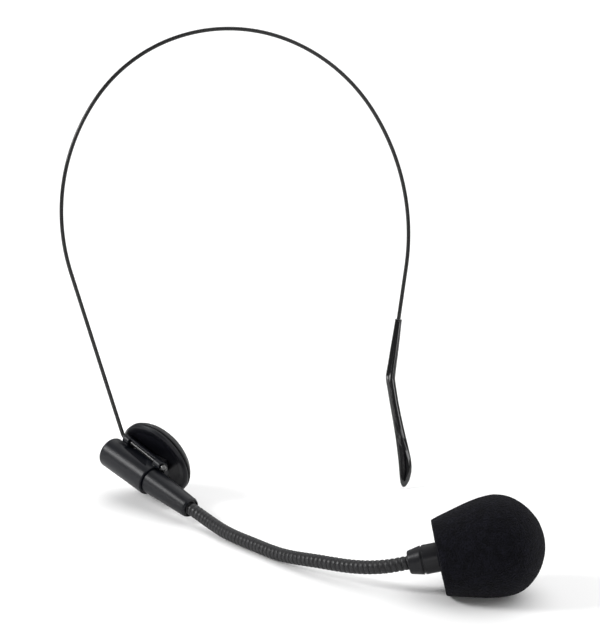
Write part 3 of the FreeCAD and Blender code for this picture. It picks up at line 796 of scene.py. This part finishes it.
paint(sleeve, "mic_black")
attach(sleeve, "microphone")
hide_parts("mic_sleeve")

# --------------------------------------------------------------- foam windscreen
FOAM = [(13.6, 10.8), (14.7, 14.6), (15.62, 18.3), (16.47, 21.6), (17.17, 24.7), (17.82, 28.6), (18.05, 32.1),
        (17.85, 35.0), (16.95, 38.0), (15.2, 41.0), (12.4, 44.0), (8.9, 46.4), (4.9, 48.1), (0.0, 48.8)]


def catmull(points, n):
    P = np.array([points[0]] + list(points) + [(-points[-2][0], points[-2][1])], float)
    out = []
    for i in range(1, len(P) - 2):
        for k in range(n):
            w = k / n
            out.append(0.5 * ((2 * P[i]) + (-P[i - 1] + P[i + 1]) * w
                              + (2 * P[i - 1] - 5 * P[i] + 4 * P[i + 1] - P[i + 2]) * w * w
                              + (-P[i - 1] + 3 * P[i] - 3 * P[i + 1] + P[i + 2]) * w ** 3))
    out.append(np.array(points[-1], float))
    return [tuple(map(float, p)) for p in out]


STEP = 0.24
outer = catmull(FOAM, 10)
outer = [(max(0.0, r), z) for r, z in outer]
foam_prof = [(0, 25.25), (5.1, 25.25), (5.1, 13.2), (5.4, 13.2), (5.4, 11.3), (5.65, 10.92), (6.0, 10.82), (13.2, 10.8),
             (13.45, 10.86), (13.62, 11.1)] + [p for p in outer if p[1] > 11.4]
foam_prof = dense(foam_prof, STEP)


def pores(p):
    """Fine open pores outside; the pocket leans so that it follows the holder inside."""
    q = p.copy()
    r = np.hypot(p[:, 0], p[:, 1])
    inner = ((r < 5.9) & (p[:, 2] < 26.0))
    nrm = p - A(0, 0, 30.0)
    nrm[(p[:, 2] < 10.95) & (r > 5.9)] = A(0, 0, -1)
    nrm /= np.maximum(np.linalg.norm(nrm, axis=1), 1e-9)[:, None]
    for i in np.where(~inner)[0]:
        v = Vector(p[i])
        d = noise.voronoi(v * 1.6)[0]
        q[i] += nrm[i] * (noise.noise(v * 0.16) * 0.10 + (min(d[0], 0.5) - 0.28) * 0.34 + noise.noise(v * 3.1) * 0.05 - 0.04)
    w = MF.many(p[inner]) - FF.o
    q[inner] = np.stack([w @ FF.x, w @ FF.y, w @ FF.z], -1)
    edge = (~inner) & (r < 9.5) & (p[:, 2] < 10.95)
    if edge.any():
        w = MF.many(p[edge]) - FF.o
        loc = np.stack([w @ FF.x, w @ FF.y, w @ FF.z], -1)
        t = np.clip((9.5 - r[edge]) / 3.5, 0, 1)[:, None]
        q[edge, :2] = q[edge, :2] * (1 - t) + loc[:, :2] * t
    return q


foam = revolve("foam_ball", foam_prof, FF, 480, warp=pores)
paint(foam, "foam_black")
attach(foam, "windscreen")
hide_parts("foam_windscreen")

# --------------------------------------------------------------- floor, light
floor_me = bpy.data.meshes.new("floor")
floor_me.from_pydata([(-6, -3, 0), (6, -3, 0), (6, 9, 0), (-6, 9, 0)], [], [(0, 1, 2, 3)])
floor = bpy.data.objects.new("floor", floor_me)
bpy.context.scene.collection.objects.link(floor)
fm = bpy.data.materials.new("floor_paper")
fm.use_nodes = True
fp = fm.node_tree.nodes["Principled BSDF"]
fp.inputs["Base Color"].default_value = (0.93, 0.93, 0.93, 1)
fp.inputs["Roughness"].default_value = 0.75
fp.inputs["Specular IOR Level"].default_value = 0.25
floor_me.materials.append(fm)
floor.location.z = -0.00012

world = bpy.data.worlds.new("studio")
bpy.context.scene.world = world
world.use_nodes = True
world.node_tree.nodes["Background"].inputs[0].default_value = (1, 1, 1, 1)
world.node_tree.nodes["Background"].inputs[1].default_value = 0.21


def lamp(name, kind, loc, target, power, size=0.5, sy=None, spread=None):
    d = bpy.data.lights.new(name, kind)
    d.energy = power
    if kind == "AREA":
        d.shape = "RECTANGLE"
        d.size, d.size_y = size, sy or size
    else:
        d.angle = math.radians(size)
    o = bpy.data.objects.new(name, d)
    bpy.context.scene.collection.objects.link(o)
    o.location = loc
    o.rotation_euler = (Vector(target) - Vector(loc)).to_track_quat("-Z", "Y").to_euler()
    return o


lamp("overhead", "SUN", (0.60, 0.10, 1.0), (0, 0, 0), 2.5, size=95)
lamp("strip_left", "AREA", (-0.93, -0.05, 0.68), (-0.05, 0.0, 0.02), 8.6, 0.33, 0.30)
lamp("far_floor", "AREA", (0.1, 2.3, 1.5), (0.1, 2.6, 0.0), 30.0, 4.4, 3.2)
lamp("low_left", "AREA", (-1.10, -0.14, 0.10), (0.0, 0.04, 0.05), 1.1, 0.34, 0.16)
lamp("low_front", "AREA", (-0.36, -1.25, 0.34), (0.0, 0.04, 0.04), 2.2, 0.75, 0.16)
lamp("low_right", "AREA", (0.85, -0.62, 0.20), (0.02, 0.04, 0.04), 0.9, 0.45, 0.16)
bpy.context.scene.view_settings.view_transform = "Standard"
